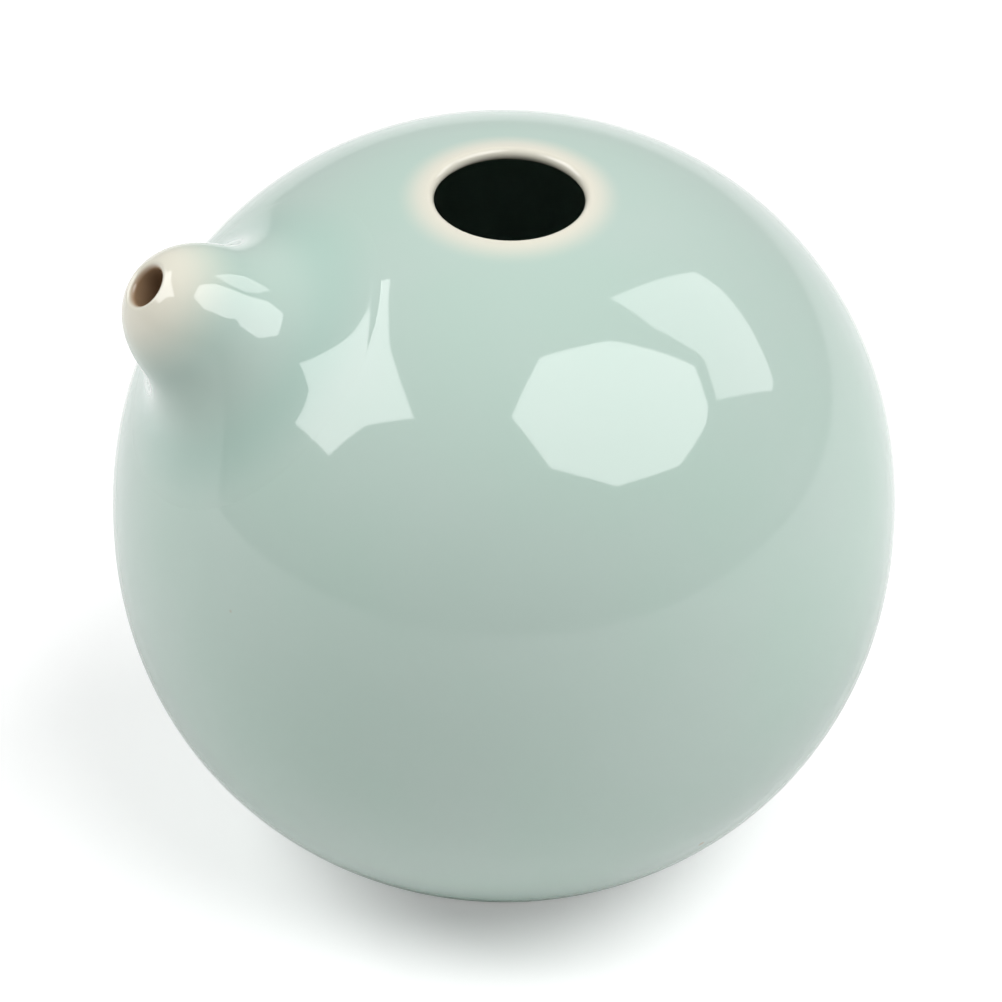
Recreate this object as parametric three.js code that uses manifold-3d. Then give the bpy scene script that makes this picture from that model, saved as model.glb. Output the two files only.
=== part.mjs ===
// A globular porcelain water dropper with a filling mouth and a short spout. Millimetres, +Z up,
// origin on the axis under the foot, spout towards -X.
import * as THREE from "three";
import { mergeVertices } from "three/addons/utils/BufferGeometryUtils.js";
import Module from "manifold-3d";

const manifold = await Module();
manifold.setup();

// Globe
const bodyRadius = 35;
const bodyHalfHeight = 34.6;
const bodyFullness = 2.136; // 2 is an ellipse, more is squarer
const bodyWall = 2.6;

// Mouth
const mouthRadius = 6.8;
const lipWall = 1.5;
const lipTaperDegrees = 14;

// Foot
const footRadius = 16;
const footWidth = 2.2;
const footHeight = 1.8;
const footRecess = 1.2;
const floorThickness = 3;

// Spout
const spoutElevationDegrees = 43.6;
const spoutTipDistance = 40.1; // from the globe's centre to the centre of the round tip
const spoutTipRadius = 5.74;
const spoutCoreLength = 21;
const spoutCoreRadius = 4.6;
const spoutBlend = 9.9;
const spoutSkirtDegrees = 18;
const spoutBoreRadius = 1.75;
const spoutBoreLength = 4;
const spoutRimRound = 0.5;
const spoutRootBore = 3.2;

// Slip and clearances
const slipWidth = 5;
const slipThickness = 1.2;
const seatGap = 0.15;
const slipGap = 0.15;

// Facets
const bodySegments = 60;
const spoutSegments = 40;

const radians = THREE.MathUtils.degToRad;

function superellipseHeight(radius, widest, halfHeight) {
  return halfHeight * (1 - (radius / widest) ** bodyFullness) ** (1 / bodyFullness);
}

const centreHeight = superellipseHeight(footRadius, bodyRadius, bodyHalfHeight) + footHeight;
const centre = new THREE.Vector3(0, 0, centreHeight);

// Distance from the globe's centre to a superellipse of revolution, at an angle from the axis.
function globeDistance(angle, inset) {
  const across = Math.abs(Math.sin(angle)) / (bodyRadius - inset);
  const along = Math.abs(Math.cos(angle)) / (bodyHalfHeight - inset);
  return (across ** bodyFullness + along ** bodyFullness) ** (-1 / bodyFullness);
}

function globePoint(angle, inset) {
  const distance = globeDistance(angle, inset);
  return new THREE.Vector2(
    distance * Math.sin(angle),
    centreHeight + distance * Math.cos(angle),
  );
}

// Joins rings of equal length into one closed surface that faces out.
function loft(rings) {
  const positions = [];
  const indices = [];
  const around = rings[0].length;
  rings.forEach((ring) => ring.forEach((p) => positions.push(p.x, p.y, p.z)));
  rings.forEach((ring, i) => {
    const next = (i + 1) % rings.length;
    for (let j = 0; j < around; j++) {
      const k = (j + 1) % around;
      const a = i * around + j;
      const b = i * around + k;
      const c = next * around + j;
      const d = next * around + k;
      indices.push(a, b, c, b, d, c);
    }
  });
  const geometry = new THREE.BufferGeometry();
  geometry.setAttribute("position", new THREE.Float32BufferAttribute(positions, 3));
  geometry.setIndex(indices);
  const merged = mergeVertices(geometry, 1e-4);
  const index = Array.from(merged.index.array);
  const kept = [];
  for (let i = 0; i < index.length; i += 3) {
    const [a, b, c] = index.slice(i, i + 3);
    if (a !== b && b !== c && c !== a) kept.push(a, b, c);
  }
  merged.setIndex(signedVolume(merged, kept) > 0 ? kept : kept.reverse());
  return merged;
}

function signedVolume(geometry, index) {
  const at = (i) => new THREE.Vector3().fromBufferAttribute(geometry.attributes.position, i);
  let sum = 0;
  for (let i = 0; i < index.length; i += 3) {
    sum += at(index[i]).dot(at(index[i + 1]).cross(at(index[i + 2])));
  }
  return sum / 6;
}

// Turns a closed profile of radius and height about the Z axis.
function revolve(profile, segments) {
  return loft(
    profile.map((p) =>
      Array.from({ length: segments }, (_, j) => {
        const turn = (2 * Math.PI * j) / segments;
        return new THREE.Vector3(p.x * Math.cos(turn), p.x * Math.sin(turn), p.y);
      }),
    ),
  );
}

function steps(from, to, count) {
  return Array.from({ length: count + 1 }, (_, i) => from + ((to - from) * i) / count);
}

function toSolid(geometry) {
  return new manifold.Manifold(
    new manifold.Mesh({
      numProp: 3,
      vertProperties: new Float32Array(geometry.attributes.position.array),
      triVerts: new Uint32Array(geometry.index.array),
    }),
  );
}

function toGeometry(solid) {
  const mesh = solid.getMesh();
  const geometry = new THREE.BufferGeometry();
  geometry.setAttribute("position", new THREE.BufferAttribute(mesh.vertProperties, 3));
  geometry.setIndex(new THREE.BufferAttribute(mesh.triVerts, 1));
  return geometry;
}

// Angle from the axis at which the globe has a given radius, on its upper half.
function globeAngle(radius, inset) {
  let low = 0;
  let high = Math.PI / 2;
  for (let i = 0; i < 40; i++) {
    const middle = (low + high) / 2;
    if (globeDistance(middle, inset) * Math.sin(middle) < radius) low = middle;
    else high = middle;
  }
  return low;
}

// Upper half: the dome outside, the rounded lip, and the thinner wall towards the mouth inside.
function upperProfile() {
  const mouthAngle = globeAngle(mouthRadius, 0);
  const taper = radians(lipTaperDegrees);
  const outer = steps(Math.PI / 2, mouthAngle, 20).map((a) => globePoint(a, 0));
  const inner = steps(mouthAngle, Math.PI / 2, 16).map((a) => {
    const share = THREE.MathUtils.smoothstep(a - mouthAngle, 0, taper);
    return globePoint(a, THREE.MathUtils.lerp(lipWall, bodyWall, share));
  });
  const lipOuter = outer[outer.length - 1];
  const lipInner = inner[0];
  const middle = lipOuter.clone().add(lipInner).divideScalar(2);
  const out = lipOuter.clone().sub(middle);
  const inwards = new THREE.Vector2(-out.y, out.x);
  const lip = steps(0, Math.PI, 6)
    .slice(1, -1)
    .map((t) =>
      middle.clone().addScaledVector(out, Math.cos(t)).addScaledVector(inwards, Math.sin(t)),
    );
  return [...outer, ...lip, ...inner];
}

// Lower half: the globe down to the foot ring, the shallow recess, and the flat floor inside.
function lowerProfile() {
  const footAngle = Math.PI - globeAngle(footRadius, 0);
  const outer = steps(Math.PI / 2, footAngle, 14).map((a) => globePoint(a, 0));
  const floorHeight = footRecess + floorThickness;
  const inner = steps(Math.PI, Math.PI / 2, 18)
    .map((a) => globePoint(a, bodyWall))
    .filter((p) => p.y > floorHeight);
  const drop = (centreHeight - floorHeight) / (bodyHalfHeight - bodyWall);
  const floorRadius =
    (bodyRadius - bodyWall) * (1 - drop ** bodyFullness) ** (1 / bodyFullness);
  return [
    ...outer,
    new THREE.Vector2(footRadius, 0),
    new THREE.Vector2(footRadius - footWidth, 0),
    new THREE.Vector2(footRadius - footWidth - footRecess / 2, footRecess),
    new THREE.Vector2(0, footRecess),
    new THREE.Vector2(0, floorHeight),
    new THREE.Vector2(floorRadius, floorHeight),
    ...inner,
  ];
}

// The spout's own frame: its axis runs out from the globe's centre.
const spoutElevation = radians(spoutElevationDegrees);
const spoutAxis = new THREE.Vector3(-Math.cos(spoutElevation), 0, Math.sin(spoutElevation));
const spoutSide = new THREE.Vector3(0, 1, 0);
const spoutUp = new THREE.Vector3().crossVectors(spoutAxis, spoutSide);

function spoutDirection(angle, turn) {
  return new THREE.Vector3()
    .addScaledVector(spoutAxis, Math.cos(angle))
    .addScaledVector(spoutSide, Math.sin(angle) * Math.cos(turn))
    .addScaledVector(spoutUp, Math.sin(angle) * Math.sin(turn));
}

// Distance outside the globe, roughly in millimetres.
function outsideGlobe(point) {
  const across = (Math.hypot(point.x, point.y) / bodyRadius) ** bodyFullness;
  const along = (Math.abs(point.z) / bodyHalfHeight) ** bodyFullness;
  return bodyRadius * ((across + along) ** (1 / bodyFullness) - 1);
}

// Distance outside the spout's tapered core, which ends in a round tip.
function outsideCore(point) {
  const along = point.dot(spoutAxis);
  const start = spoutTipDistance - spoutCoreLength;
  const share = THREE.MathUtils.clamp((along - start) / spoutCoreLength, 0, 1);
  const nearest = spoutAxis.clone().multiplyScalar(start + share * spoutCoreLength);
  return point.distanceTo(nearest) - THREE.MathUtils.lerp(spoutCoreRadius, spoutTipRadius, share);
}

function outsideBlend(point) {
  const globe = outsideGlobe(point);
  const core = outsideCore(point);
  const share = THREE.MathUtils.clamp(0.5 + (core - globe) / (2 * spoutBlend), 0, 1);
  return THREE.MathUtils.lerp(core, globe, share) - spoutBlend * share * (1 - share);
}

// Distance from the centre to the blended surface of globe and spout in one direction.
function blendDistance(direction) {
  let low = bodyRadius / 2;
  let high = spoutTipDistance + 2 * spoutTipRadius;
  for (let i = 0; i < 40; i++) {
    const middle = (low + high) / 2;
    if (outsideBlend(direction.clone().multiplyScalar(middle)) < 0) low = middle;
    else high = middle;
  }
  return low;
}

// Angles from the spout's axis at equal steps along the blended outline.
function skirtAngles(first, last, count) {
  const fine = steps(first, last, 400);
  const outline = fine.map((a) => {
    const direction = spoutDirection(a, 0);
    return direction.multiplyScalar(blendDistance(direction));
  });
  const travelled = [0];
  for (let i = 1; i < fine.length; i++) {
    travelled.push(travelled[i - 1] + outline[i].distanceTo(outline[i - 1]));
  }
  const whole = travelled[travelled.length - 1];
  return steps(0, whole, count).map((s) => {
    const found = travelled.findIndex((t) => t >= s);
    return found < 0 ? last : fine[found];
  });
}

function spoutRing(place) {
  return Array.from({ length: spoutSegments }, (_, j) =>
    place((2 * Math.PI * j) / spoutSegments).add(centre),
  );
}

// A round ring about the spout's axis.
function boreRing(radius, along) {
  return spoutRing((turn) =>
    spoutDirection(Math.PI / 2, turn).multiplyScalar(radius).addScaledVector(spoutAxis, along),
  );
}

function spoutGeometry() {
  const tip = spoutTipDistance + spoutTipRadius;
  const rimAngle = Math.asin((spoutBoreRadius + spoutRimRound) / tip);
  const skirt = radians(spoutSkirtDegrees);
  const root = Math.asin(spoutRootBore / bodyRadius);
  const outer = skirtAngles(rimAngle, skirt, 18).map((angle) =>
    spoutRing((turn) => {
      const direction = spoutDirection(angle, turn);
      return direction.multiplyScalar(blendDistance(direction));
    }),
  );
  const seat = steps(skirt, root, 6).map((angle) =>
    spoutRing((turn) => {
      const direction = spoutDirection(angle, turn);
      const fromAxis = Math.acos(direction.z);
      return direction.multiplyScalar(globeDistance(fromAxis, 0) + seatGap);
    }),
  );
  const bore = [
    boreRing(spoutBoreRadius, tip - spoutBoreLength),
    boreRing(spoutBoreRadius, tip - 2 * spoutRimRound),
  ];
  return loft([...outer, ...seat, ...bore]);
}

// The hole that is pierced through the upper half under the spout.
function piercing() {
  const profile = [
    new THREE.Vector2(0, bodyRadius - 2 * bodyWall),
    new THREE.Vector2(spoutRootBore, bodyRadius - 2 * bodyWall),
    new THREE.Vector2(spoutRootBore, bodyRadius + bodyWall),
    new THREE.Vector2(0, bodyRadius + bodyWall),
  ];
  const geometry = revolve(profile, spoutSegments);
  const turn = new THREE.Quaternion().setFromUnitVectors(new THREE.Vector3(0, 0, 1), spoutAxis);
  geometry.applyQuaternion(turn);
  geometry.translate(centre.x, centre.y, centre.z);
  return toSolid(geometry);
}

function upperGeometry() {
  return toGeometry(toSolid(revolve(upperProfile(), bodySegments)).subtract(piercing()));
}

// The slip bead lies inside against the wall, across the seam.
function slipProfile() {
  const outer = steps(-slipWidth / 2, slipWidth / 2, 4).map((height) => {
    const wall = superellipseHeight(
      Math.abs(height),
      bodyHalfHeight - bodyWall,
      bodyRadius - bodyWall,
    );
    return new THREE.Vector2(wall - slipGap, centreHeight + height);
  });
  const inner = steps(radians(60), radians(-60), 4).map((angle) => {
    const bulge = (Math.cos(angle) - Math.cos(radians(60))) * 2;
    return new THREE.Vector2(
      bodyRadius - bodyWall - slipGap - slipThickness * (0.4 + 0.6 * bulge),
      centreHeight + (slipWidth / 2) * (Math.sin(angle) / Math.sin(radians(60))),
    );
  });
  return [...outer, ...inner];
}

const dropper = new THREE.Group();

function addPiece(name, geometry) {
  const piece = new THREE.Mesh(geometry);
  piece.name = name;
  dropper.add(piece);
}

addPiece("lower_body", revolve(lowerProfile(), bodySegments));
addPiece("upper_body", upperGeometry());
addPiece("spout", spoutGeometry());
addPiece("seam_slip", revolve(slipProfile(), bodySegments));

export default dropper;
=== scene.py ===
"""Looks of a globular celadon water dropper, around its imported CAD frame. Metres, +Z up."""
from math import asin, cos, pi, radians, sin

import bmesh
import bpy
import numpy as np
from mathutils import Matrix, Vector


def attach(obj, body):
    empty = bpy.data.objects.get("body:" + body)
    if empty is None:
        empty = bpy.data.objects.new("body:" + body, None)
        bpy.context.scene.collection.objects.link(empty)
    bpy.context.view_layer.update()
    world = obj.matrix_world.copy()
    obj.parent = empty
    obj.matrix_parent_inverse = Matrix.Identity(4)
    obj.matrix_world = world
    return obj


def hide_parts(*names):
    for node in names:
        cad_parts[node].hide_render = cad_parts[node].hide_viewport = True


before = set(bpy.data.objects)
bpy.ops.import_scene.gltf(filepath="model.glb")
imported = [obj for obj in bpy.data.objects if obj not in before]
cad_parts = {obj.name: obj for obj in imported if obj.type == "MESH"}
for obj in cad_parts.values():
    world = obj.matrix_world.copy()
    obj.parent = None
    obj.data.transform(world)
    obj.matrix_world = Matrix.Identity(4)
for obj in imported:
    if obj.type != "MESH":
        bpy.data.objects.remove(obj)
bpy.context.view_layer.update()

MM = 0.001

# Globe, in millimetres as in the CAD source
BODY_RADIUS = 35.0
BODY_HALF_HEIGHT = 34.6
FULLNESS = 2.136
BODY_WALL = 2.6
LIP_WALL = 1.2
LIP_TAPER = radians(14)
MOUTH_RADIUS = 7.3
FOOT_RADIUS = 16.0
FOOT_WIDTH = 2.2
FOOT_HEIGHT = 1.8
FOOT_RECESS = 1.2
FOOT_ROUND = 0.4
FLOOR_THICKNESS = 3.0

# Spout
SPOUT_ELEVATION = radians(43.6)
TIP_DISTANCE = 40.1
TIP_RADIUS = 5.74
CORE_LENGTH = 21.0
CORE_RADIUS = 4.6
BLEND = 9.9
SKIRT_ANGLE = radians(27)
BORE_RADIUS = 1.75
BORE_DEPTH = 9.0
BORE_RIM = 0.6
ROOT_DEPTH = 3.0
SKIN_LIFT = 0.02
SKIRT_DIP = 0.14
SKIRT_DIP_ANGLE = radians(3)
SKIRT_TUCK = 0.4

# Points and turns of the smooth meshes
GLOBE_OUTER_POINTS = 150
GLOBE_INNER_POINTS = 110
LIP_POINTS = 26
GLOBE_TURNS = 180
SPOUT_RINGS = 90
SPOUT_TURNS = 144

# Camera, worked out from the photograph's outline
CAMERA_AZIMUTH = radians(-19)
CAMERA_ELEVATION = radians(37.57)
CAMERA_ROLL = radians(1.04)
CAMERA_DISTANCE = 18 * BODY_RADIUS * MM
IMAGE_SIZE = 1002
PIXELS_PER_RADIUS = 390.6
CENTRE_PIXEL = (504.0, 505.2)
SENSOR_WIDTH = 36.0

# Floor, room and lamps. The glow is for the camera alone, and makes the floor white.
FLOOR_SIZE = 1.4
FLOOR_GLOW = 0.28
ROOM_LIGHT = 0.12
ROOM_IN_GLAZE = 0.55
BACKDROP_SEEN = 1.0
LAMP_DISTANCE = 1.1
LAMP_STRENGTH = 5.0
STRIP_DISTANCE = 1.3
STRIP_STRENGTH = 3.6

# Corners of the lamps' reflections in the glaze, as pixels of the photograph
STAR_LAMP = ((304, 283), (350, 296), (405, 272), (400, 340), (420, 415), (372, 425), (336, 458),
             (300, 410), (242, 380), (282, 330))
OCTAGON_LAMP = ((537, 349), (600, 333), (682, 363), (698, 406), (697, 424), (673, 468),
                (612, 489), (548, 468), (511, 412))
STRIP_LAMP = ((598, 290), (677, 269), (704, 287), (736, 327), (762, 383), (761, 394),
              (706, 400), (690, 355), (640, 322))


def globe_height(radius, widest, half_height):
    return half_height * (1 - (radius / widest) ** FULLNESS) ** (1 / FULLNESS)


CENTRE_HEIGHT = globe_height(FOOT_RADIUS, BODY_RADIUS, BODY_HALF_HEIGHT) + FOOT_HEIGHT
CENTRE = np.array((0.0, 0.0, CENTRE_HEIGHT))
SPOUT_AXIS = np.array((-cos(SPOUT_ELEVATION), 0.0, sin(SPOUT_ELEVATION)))
SPOUT_SIDE = np.array((0.0, 1.0, 0.0))
SPOUT_UP = np.cross(SPOUT_AXIS, SPOUT_SIDE)


def globe_distance(angle, inset):
    """From the globe's centre to its surface, at an angle from the axis."""
    across = np.abs(np.sin(angle)) / (BODY_RADIUS - inset)
    along = np.abs(np.cos(angle)) / (BODY_HALF_HEIGHT - inset)
    return (across ** FULLNESS + along ** FULLNESS) ** (-1 / FULLNESS)


def globe_profile(angles, inset):
    distance = globe_distance(angles, inset)
    return np.stack((distance * np.sin(angles), CENTRE_HEIGHT + distance * np.cos(angles)), -1)


def globe_angle(radius):
    """The angle from the axis at which the upper half has this radius."""
    angles = np.linspace(0, pi / 2, 20001)
    radii = globe_distance(angles, 0) * np.sin(angles)
    return float(np.interp(radius, radii, angles))


def lip_arc(outer, inner, count):
    """The half circle that rounds the lip from the outside to the inside."""
    middle = (outer + inner) / 2
    out = outer - middle
    inwards = np.array((-out[1], out[0]))
    turns = np.linspace(0, pi, count)[1:-1]
    return middle + np.outer(np.cos(turns), out) + np.outer(np.sin(turns), inwards)


def arc_corner(corner, start, end, size, count=6):
    """A rounded corner of a profile, between the lines from corner to start and to end."""
    a = corner + size * (start - corner) / np.linalg.norm(start - corner)
    b = corner + size * (end - corner) / np.linalg.norm(end - corner)
    t = np.linspace(0, 1, count)[:, None]
    return (1 - t) ** 2 * a + 2 * t * (1 - t) * corner + t ** 2 * b


def globe_skin_profile():
    """Outside, lip, inside, floor and foot as one closed outline of radius and height."""
    mouth = globe_angle(MOUTH_RADIUS)
    foot = pi - globe_angle(FOOT_RADIUS)
    outer = globe_profile(np.linspace(foot, mouth, GLOBE_OUTER_POINTS), 0)
    inner_angles = np.linspace(mouth, pi, GLOBE_INNER_POINTS)
    share = np.clip((inner_angles - mouth) / LIP_TAPER, 0, 1)
    share = share * share * (3 - 2 * share)
    inner = globe_profile(inner_angles, LIP_WALL + (BODY_WALL - LIP_WALL) * share)
    floor = FOOT_RECESS + FLOOR_THICKNESS
    inner = inner[inner[:, 1] > floor]
    corners = np.array((
        (0, floor),
        (0, FOOT_RECESS),
        (FOOT_RADIUS - FOOT_WIDTH - FOOT_RECESS / 2, FOOT_RECESS),
        (FOOT_RADIUS - FOOT_WIDTH, 0),
        (FOOT_RADIUS, 0),
    ))
    rounded = [corners[:2]]
    for i in (2, 3, 4):
        after = corners[i + 1] if i < 4 else outer[0]
        rounded.append(arc_corner(corners[i], corners[i - 1], after, FOOT_ROUND))
    return np.concatenate((outer, lip_arc(outer[-1], inner[0], LIP_POINTS), inner, *rounded))


def make_mesh(name, rings):
    """One closed smooth mesh from rings of points in millimetres."""
    ring_count, around = rings.shape[:2]
    grid = np.arange(ring_count * around).reshape(ring_count, around)
    below = np.roll(grid, -1, 0)
    faces = np.stack((grid, np.roll(grid, -1, 1), np.roll(below, -1, 1), below), -1)
    data = bpy.data.meshes.new(name)
    points = (rings.reshape(-1, 3) * MM).tolist()
    data.from_pydata(points, [], faces.reshape(-1, 4).tolist())
    shape = bmesh.new()
    shape.from_mesh(data)
    bmesh.ops.remove_doubles(shape, verts=shape.verts, dist=1e-7)
    bmesh.ops.dissolve_degenerate(shape, edges=shape.edges, dist=1e-8)
    bmesh.ops.recalc_face_normals(shape, faces=shape.faces)
    for face in shape.faces:
        face.smooth = True
    shape.to_mesh(data)
    shape.free()
    piece = bpy.data.objects.new(name, data)
    bpy.context.scene.collection.objects.link(piece)
    return piece


def make_globe():
    profile = globe_skin_profile()
    turns = np.linspace(0, 2 * pi, GLOBE_TURNS, endpoint=False)
    rings = np.stack((
        np.outer(profile[:, 0], np.cos(turns)),
        np.outer(profile[:, 0], np.sin(turns)),
        np.repeat(profile[:, 1:], len(turns), 1),
    ), -1)
    return make_mesh("glazed_globe", rings)


def outside_globe(points):
    """Roughly how far points, taken from the globe's centre, lie outside the globe."""
    across = (np.hypot(points[..., 0], points[..., 1]) / BODY_RADIUS) ** FULLNESS
    along = (np.abs(points[..., 2]) / BODY_HALF_HEIGHT) ** FULLNESS
    return BODY_RADIUS * ((across + along) ** (1 / FULLNESS) - 1)


def outside_core(points):
    """How far points lie outside the spout's tapered core, which ends in a round tip."""
    start = TIP_DISTANCE - CORE_LENGTH
    share = np.clip((points @ SPOUT_AXIS - start) / CORE_LENGTH, 0, 1)
    nearest = (start + share * CORE_LENGTH)[..., None] * SPOUT_AXIS
    radius = CORE_RADIUS + (TIP_RADIUS - CORE_RADIUS) * share
    return np.linalg.norm(points - nearest, axis=-1) - radius


def outside_blend(points):
    """The smooth union of globe and core."""
    globe = outside_globe(points)
    core = outside_core(points)
    share = np.clip(0.5 + (core - globe) / (2 * BLEND), 0, 1)
    return core * (1 - share) + globe * share - BLEND * share * (1 - share)


def blend_distance(directions):
    """From the globe's centre to the blended surface, found by halving."""
    low = np.full(directions.shape[:-1], BODY_RADIUS / 2)
    high = np.full_like(low, TIP_DISTANCE + 2 * TIP_RADIUS)
    for _ in range(40):
        middle = (low + high) / 2
        inside = outside_blend(directions * middle[..., None]) < 0
        low = np.where(inside, middle, low)
        high = np.where(inside, high, middle)
    return low


def spout_directions(angles, turns):
    angle, turn = np.meshgrid(angles, turns, indexing="ij")
    across = np.cos(turn)[..., None] * SPOUT_SIDE + np.sin(turn)[..., None] * SPOUT_UP
    return np.cos(angle)[..., None] * SPOUT_AXIS + np.sin(angle)[..., None] * across


def even_angles(first, last, count):
    """Angles from the spout's axis at equal steps along its outline."""
    fine = np.linspace(first, last, 1500)
    directions = spout_directions(fine, np.array((0.0,)))[:, 0]
    outline = directions * blend_distance(directions)[:, None]
    travelled = np.concatenate(((0,), np.cumsum(np.linalg.norm(np.diff(outline, axis=0), axis=1))))
    return np.interp(np.linspace(0, travelled[-1], count), travelled, fine)


def make_spout():
    """The spout's skin: bore, rounded rim, blended outside, and a skirt that dips into the globe."""
    turns = np.linspace(0, 2 * pi, SPOUT_TURNS, endpoint=False)
    tip = TIP_DISTANCE + TIP_RADIUS
    rim_angle = asin((BORE_RADIUS + BORE_RIM) / tip)
    angles = even_angles(rim_angle, SKIRT_ANGLE, SPOUT_RINGS)
    directions = spout_directions(angles, turns)
    dip = np.clip((angles - SKIRT_ANGLE) / SKIRT_DIP_ANGLE + 1, 0, 1) ** 2 * SKIRT_DIP
    lift = (SKIN_LIFT - dip)[:, None]
    outer = directions * (blend_distance(directions) + lift)[..., None]
    edge = spout_directions(np.array((SKIRT_ANGLE,)), turns)
    tucked = edge * (globe_distance(np.arccos(edge[..., 2]), 0) - SKIRT_TUCK)[..., None]
    across = spout_directions(np.array((pi / 2,)), turns)[0]
    rim_height = float(np.mean(outer[0] @ SPOUT_AXIS))
    rim_turns = np.linspace(0, pi / 2, 9)[1:]
    profile = [(BORE_RADIUS + BORE_RIM * (1 - sin(t)), rim_height - BORE_RIM * (1 - cos(t)))
               for t in rim_turns]
    profile.append((BORE_RADIUS, rim_height - BORE_DEPTH))
    profile.append((0.0, rim_height - BORE_DEPTH - BORE_RADIUS))
    bore = np.stack([across * radius + SPOUT_AXIS * height for radius, height in profile])
    root = np.repeat((SPOUT_AXIS * (BODY_RADIUS - ROOT_DEPTH))[None, None], len(turns), 1)
    rings = np.concatenate((outer, tucked, root))
    skin = np.concatenate((bore[::-1], rings)) + CENTRE
    return make_mesh("glazed_spout", skin)


class Nodes:
    """A short way to lay out a material's nodes."""

    def __init__(self, name):
        self.material = bpy.data.materials.new(name)
        self.material.use_nodes = True
        self.tree = self.material.node_tree
        self.shader = self.tree.nodes["Principled BSDF"]
        self.place = self.add("ShaderNodeTexCoord").outputs["Object"]

    def add(self, kind, **values):
        node = self.tree.nodes.new(kind)
        for key, value in values.items():
            setattr(node, key, value)
        return node

    def link(self, source, target):
        self.tree.links.new(source, target)

    def vector(self, operation, first, second=None, output="Vector"):
        node = self.add("ShaderNodeVectorMath", operation=operation)
        for i, value in enumerate((first, second)):
            if value is None:
                continue
            if isinstance(value, bpy.types.NodeSocket):
                self.link(value, node.inputs[i])
            else:
                node.inputs[i].default_value = value
        return node.outputs[output]

    def spread(self, value, low, high, reach_low=0.0, reach_high=1.0):
        node = self.add("ShaderNodeMapRange", interpolation_type="SMOOTHSTEP")
        self.link(value, node.inputs["Value"])
        for key, number in (("From Min", low), ("From Max", high),
                            ("To Min", reach_low), ("To Max", reach_high)):
            node.inputs[key].default_value = number
        return node.outputs["Result"]

    def mix(self, share, first, second):
        node = self.add("ShaderNodeMix", data_type="RGBA")
        self.link(share, node.inputs["Factor"])
        for key, value in (("A", first), ("B", second)):
            sockets = [s for s in node.inputs if s.name == key and s.type == "RGBA"]
            if isinstance(value, bpy.types.NodeSocket):
                self.link(value, sockets[0])
            else:
                sockets[0].default_value = (*value, 1)
        return next(s for s in node.outputs if s.type == "RGBA")

    def noise(self, scale, detail=3.0):
        node = self.add("ShaderNodeTexNoise")
        node.inputs["Scale"].default_value = scale
        node.inputs["Detail"].default_value = detail
        self.link(self.place, node.inputs["Vector"])
        return node.outputs["Fac"]

    def bump(self, height, strength, distance):
        node = self.add("ShaderNodeBump")
        node.inputs["Strength"].default_value = strength
        node.inputs["Distance"].default_value = distance
        self.link(height, node.inputs["Height"])
        self.link(node.outputs["Normal"], self.shader.inputs["Normal"])


def glaze_material():
    """Celadon glaze: cream where it runs thin, green where it pools, bare at the foot ring."""
    green = (0.365, 0.475, 0.42)
    grey_green = (0.38, 0.475, 0.43)
    pool = (0.29, 0.43, 0.375)
    cream = (0.62, 0.58, 0.49)
    bore = (0.30, 0.20, 0.12)
    biscuit = (0.58, 0.44, 0.31)
    iron = (0.30, 0.12, 0.04)
    nodes = Nodes("celadon_glaze")
    colour = nodes.mix(nodes.spread(nodes.noise(45), 0.35, 0.65), green, grey_green)
    seat = Vector((CENTRE + SPOUT_AXIS * BODY_RADIUS) * MM)
    from_seat = nodes.vector("DISTANCE", nodes.place, seat, "Value")
    rising = nodes.spread(from_seat, 7.5 * MM, 11 * MM, 0.0, 0.5)
    falling = nodes.spread(from_seat, 11 * MM, 16 * MM, 1.0, 0.0)
    ring = nodes.add("ShaderNodeMath", operation="MULTIPLY")
    nodes.link(rising, ring.inputs[0])
    nodes.link(falling, ring.inputs[1])
    colour = nodes.mix(ring.outputs[0], colour, pool)
    tip = Vector((CENTRE + SPOUT_AXIS * (TIP_DISTANCE + TIP_RADIUS)) * MM)
    from_tip = nodes.vector("DISTANCE", nodes.place, tip, "Value")
    colour = nodes.mix(nodes.spread(from_tip, 3 * MM, 9 * MM, 0.85, 0.0), colour, cream)
    mouth = Vector((0, 0, CENTRE_HEIGHT * MM + globe_height(MOUTH_RADIUS, BODY_RADIUS,
                                                          BODY_HALF_HEIGHT) * MM))
    from_mouth = nodes.vector("DISTANCE", nodes.place, mouth, "Value")
    colour = nodes.mix(nodes.spread(from_mouth, 7.0 * MM, 10.0 * MM, 0.85, 0.0), colour, cream)
    inward = nodes.vector("SUBTRACT", nodes.place, Vector(CENTRE * MM))
    across = nodes.vector("CROSS_PRODUCT", inward, Vector(SPOUT_AXIS))
    from_axis = nodes.vector("LENGTH", across, None, "Value")
    colour = nodes.mix(nodes.spread(from_axis, 1.75 * MM, 2.2 * MM, 1.0, 0.0), colour, bore)
    flecks = nodes.add("ShaderNodeTexVoronoi")
    flecks.inputs["Scale"].default_value = 90
    nodes.link(nodes.place, flecks.inputs["Vector"])
    colour = nodes.mix(nodes.spread(flecks.outputs["Distance"], 0.02, 0.035, 0.6, 0.0),
                       colour, iron)
    height = nodes.add("ShaderNodeSeparateXYZ")
    nodes.link(nodes.place, height.inputs[0])
    bare = nodes.spread(height.outputs["Z"], 0.3 * MM, 0.6 * MM, 1.0, 0.0)
    colour = nodes.mix(bare, colour, biscuit)
    nodes.link(colour, nodes.shader.inputs["Base Color"])
    nodes.link(nodes.spread(bare, 0, 1, 0.05, 0.75), nodes.shader.inputs["Roughness"])
    nodes.shader.inputs["IOR"].default_value = 1.55
    nodes.bump(nodes.noise(140, 2.0), 0.06, 0.0002)
    return nodes.material


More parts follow.
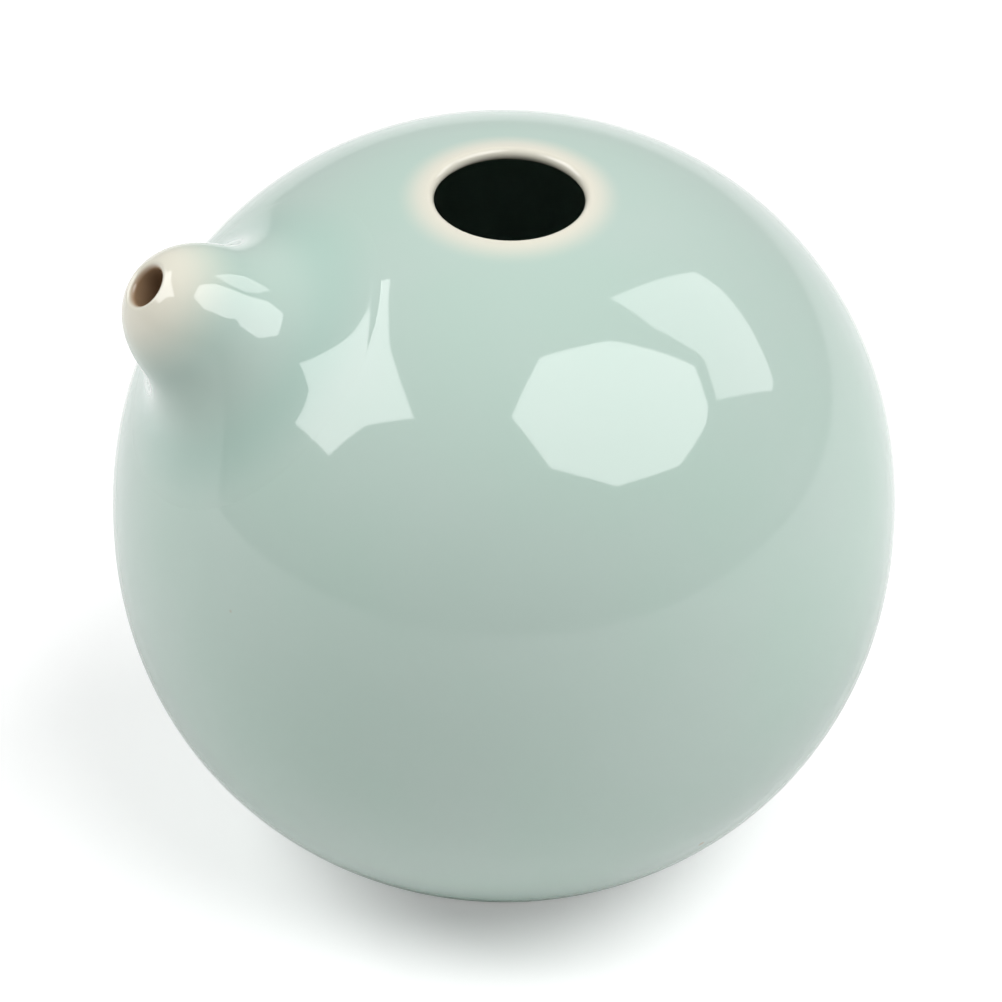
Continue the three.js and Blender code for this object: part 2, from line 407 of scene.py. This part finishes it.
def slip_material():
    nodes = Nodes("glazed_slip")
    colour = nodes.mix(nodes.noise(300), (0.50, 0.50, 0.42), (0.60, 0.56, 0.46))
    nodes.link(colour, nodes.shader.inputs["Base Color"])
    nodes.link(nodes.spread(nodes.noise(160), 0.3, 0.7, 0.15, 0.35),
               nodes.shader.inputs["Roughness"])
    nodes.bump(nodes.noise(500), 0.2, 0.0003)
    return nodes.material


def camera_axes():
    back = Vector((sin(CAMERA_AZIMUTH) * cos(CAMERA_ELEVATION),
                   -cos(CAMERA_AZIMUTH) * cos(CAMERA_ELEVATION),
                   sin(CAMERA_ELEVATION)))
    right = Vector((0, 0, 1)).cross(back).normalized()
    up = back.cross(right)
    rolled_right = right * cos(CAMERA_ROLL) + up * sin(CAMERA_ROLL)
    rolled_up = up * cos(CAMERA_ROLL) - right * sin(CAMERA_ROLL)
    return rolled_right, rolled_up, back


def add_camera():
    right, up, back = camera_axes()
    data = bpy.data.cameras.new("camera")
    data.sensor_width = SENSOR_WIDTH
    focal_pixels = PIXELS_PER_RADIUS * CAMERA_DISTANCE / (BODY_RADIUS * MM)
    data.lens = SENSOR_WIDTH * focal_pixels / IMAGE_SIZE
    data.shift_x = (IMAGE_SIZE / 2 - CENTRE_PIXEL[0]) / IMAGE_SIZE
    data.shift_y = (CENTRE_PIXEL[1] - IMAGE_SIZE / 2) / IMAGE_SIZE
    camera = bpy.data.objects.new("camera", data)
    turn = Matrix((right, up, back)).transposed().to_4x4()
    camera.matrix_world = Matrix.Translation(Vector(CENTRE * MM) + back * CAMERA_DISTANCE) @ turn
    bpy.context.scene.collection.objects.link(camera)
    bpy.context.scene.camera = camera


def reflected_point(pixel, distance):
    """Where a lamp's corner stands, if the glaze shows its reflection at this pixel."""
    right, up, back = camera_axes()
    across = (pixel[0] - CENTRE_PIXEL[0]) / PIXELS_PER_RADIUS
    rise = (CENTRE_PIXEL[1] - pixel[1]) / PIXELS_PER_RADIUS
    depth = (1 - across ** 2 - rise ** 2) ** 0.5
    normal = right * across + up * rise + back * depth
    towards = normal * (2 * normal.dot(back)) - back
    return Vector(CENTRE * MM) + normal * BODY_RADIUS * MM + towards * distance


def add_lamp(name, corners, distance, strength):
    """A flat lamp, which the camera doesn't see, standing where the glaze reflects it."""
    points = [reflected_point(corner, distance) for corner in corners]
    data = bpy.data.meshes.new(name)
    data.from_pydata(points, [], [tuple(range(len(points)))])
    material = bpy.data.materials.new(name)
    material.use_nodes = True
    tree = material.node_tree
    tree.nodes.clear()
    light = tree.nodes.new("ShaderNodeEmission")
    light.inputs["Strength"].default_value = strength
    output = tree.nodes.new("ShaderNodeOutputMaterial")
    tree.links.new(light.outputs[0], output.inputs["Surface"])
    data.materials.append(material)
    lamp = bpy.data.objects.new(name, data)
    lamp.visible_camera = False
    bpy.context.scene.collection.objects.link(lamp)


def add_floor():
    bpy.ops.mesh.primitive_plane_add(size=FLOOR_SIZE, location=(0, 0, 0))
    floor = bpy.context.object
    floor.name = "floor"
    nodes = Nodes("pale_floor")
    colour = nodes.mix(nodes.noise(20), (0.80, 0.80, 0.80), (0.83, 0.83, 0.83))
    nodes.link(colour, nodes.shader.inputs["Base Color"])
    nodes.shader.inputs["Roughness"].default_value = 0.6
    seen = nodes.add("ShaderNodeLightPath").outputs["Is Camera Ray"]
    nodes.shader.inputs["Emission Color"].default_value = (1, 1, 1, 1)
    nodes.link(nodes.spread(seen, 0, 1, 0.0, FLOOR_GLOW), nodes.shader.inputs["Emission Strength"])
    floor.data.materials.append(nodes.material)


def add_world():
    """A dim room for light, a paler one in the glaze, and white behind for the camera."""
    world = bpy.data.worlds.new("studio")
    world.use_nodes = True
    bpy.context.scene.world = world
    tree = world.node_tree
    path = tree.nodes.new("ShaderNodeLightPath")
    shown = tree.nodes["Background"].outputs[0]
    tree.nodes["Background"].inputs["Color"].default_value = (ROOM_LIGHT, ROOM_LIGHT, ROOM_LIGHT, 1)
    for ray, level in (("Is Glossy Ray", ROOM_IN_GLAZE), ("Is Camera Ray", BACKDROP_SEEN)):
        seen = tree.nodes.new("ShaderNodeBackground")
        seen.inputs["Color"].default_value = (level, level, level, 1)
        choice = tree.nodes.new("ShaderNodeMixShader")
        tree.links.new(path.outputs[ray], choice.inputs[0])
        tree.links.new(shown, choice.inputs[1])
        tree.links.new(seen.outputs[0], choice.inputs[2])
        shown = choice.outputs[0]
    tree.links.new(shown, tree.nodes["World Output"].inputs["Surface"])


bpy.context.scene.view_settings.view_transform = "Standard"
add_camera()
add_world()
add_floor()
add_lamp("star_lamp", STAR_LAMP, LAMP_DISTANCE, LAMP_STRENGTH)
add_lamp("octagon_lamp", OCTAGON_LAMP, LAMP_DISTANCE, LAMP_STRENGTH)
add_lamp("strip_lamp", STRIP_LAMP, STRIP_DISTANCE, STRIP_STRENGTH)

glaze = glaze_material()
globe = make_globe()
globe.data.materials.append(glaze)
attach(globe, "root")
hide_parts("lower_body", "upper_body")

spout = make_spout()
spout.data.materials.append(glaze)
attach(spout, "root")
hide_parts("spout")

slip = bpy.data.objects["seam_slip"]
slip.data.materials.clear()
slip.data.materials.append(slip_material())
